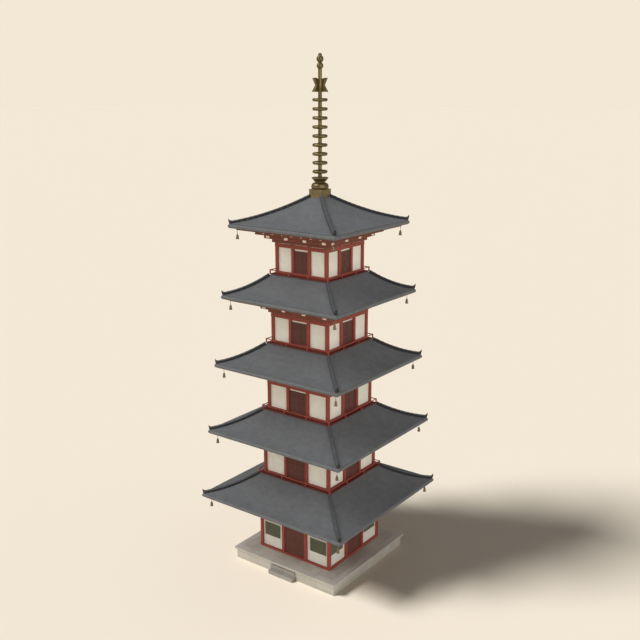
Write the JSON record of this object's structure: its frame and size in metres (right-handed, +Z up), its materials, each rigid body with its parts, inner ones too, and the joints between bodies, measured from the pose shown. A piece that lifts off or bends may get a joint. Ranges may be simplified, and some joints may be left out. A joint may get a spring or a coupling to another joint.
{
  "type": "five storey pagoda",
  "caption": "Wooden tower of stacked storeys with curved tiled roofs, railed balconies, hinged ground doors, wind bells and a bronze spire, on a stepped stone podium.",
  "frame": {"origin": "centre of the podium's underside, on the tower's axis, at floor level", "axes": "+Z up the spire, -Y out of the front with the steps, +X out of the right side with the second pair of doors"},
  "size_m": [10.9114, 10.9114, 31.7],
  "materials": {
    "stone": "rough",
    "red_timber": "painted, matt",
    "door_timber": "painted, matt",
    "plaster": "matt lime plaster",
    "roof_tile": "matt",
    "bronze": "aged bronze"
  },
  "bodies": {
    "tower": {"front_steps": "stone", "ground_frame": "red_timber", "ground_sill": "red_timber", "ground_wall_back_left": "plaster", "ground_wall_back_right": "plaster", "ground_wall_front_left": "plaster", "ground_wall_front_right": "plaster", "podium_base": "stone", "podium_paving": "stone", "roof_1_brackets": "red_timber", "roof_1_eaves": "red_timber", "roof_1_tiles": "roof_tile", "roof_2_brackets": "red_timber", "roof_2_eaves": "red_timber", "roof_2_tiles": "roof_tile", "roof_3_brackets": "red_timber", "roof_3_eaves": "red_timber", "roof_3_tiles": "roof_tile", "roof_4_brackets": "red_timber", "roof_4_eaves": "red_timber", "roof_4_tiles": "roof_tile", "roof_5_brackets": "red_timber", "roof_5_eaves": "red_timber", "roof_5_tiles": "roof_tile", "spire_base": "bronze", "spire_bowls": "bronze", "spire_fins": "bronze", "spire_jewels": "bronze", "spire_mast": "bronze", "storey_2_balcony": "red_timber", "storey_2_frame": "red_timber", "storey_2_walls": "plaster", "storey_3_balcony": "red_timber", "storey_3_frame": "red_timber", "storey_3_walls": "plaster", "storey_4_balcony": "red_timber", "storey_4_frame": "red_timber", "storey_4_walls": "plaster", "storey_5_balcony": "red_timber", "storey_5_frame": "red_timber", "storey_5_walls": "plaster"},
    "front_door_left": {"front_door_left": "door_timber"},
    "front_door_right": {"front_door_right": "door_timber"},
    "right_door_front": {"right_door_front": "door_timber"},
    "right_door_back": {"right_door_back": "door_timber"}
  },
  "joints": [
    {"name": "front_door_left_hinge", "type": "hinge", "parent": "tower", "child": "front_door_left", "pos_m": [-0.74267, -2.678, 0.9], "axis": [0, 0, -1], "range_deg": [0, 100]},
    {"name": "front_door_right_hinge", "type": "hinge", "parent": "tower", "child": "front_door_right", "pos_m": [0.74267, -2.678, 0.9], "axis": [0, 0, 1], "range_deg": [0, 100]},
    {"name": "right_door_front_hinge", "type": "hinge", "parent": "tower", "child": "right_door_front", "pos_m": [2.678, -0.74267, 0.9], "axis": [0, 0, -1], "range_deg": [0, 100]},
    {"name": "right_door_back_hinge", "type": "hinge", "parent": "tower", "child": "right_door_back", "pos_m": [2.678, 0.74267, 0.9], "axis": [0, 0, 1], "range_deg": [0, 100]}
  ]
}
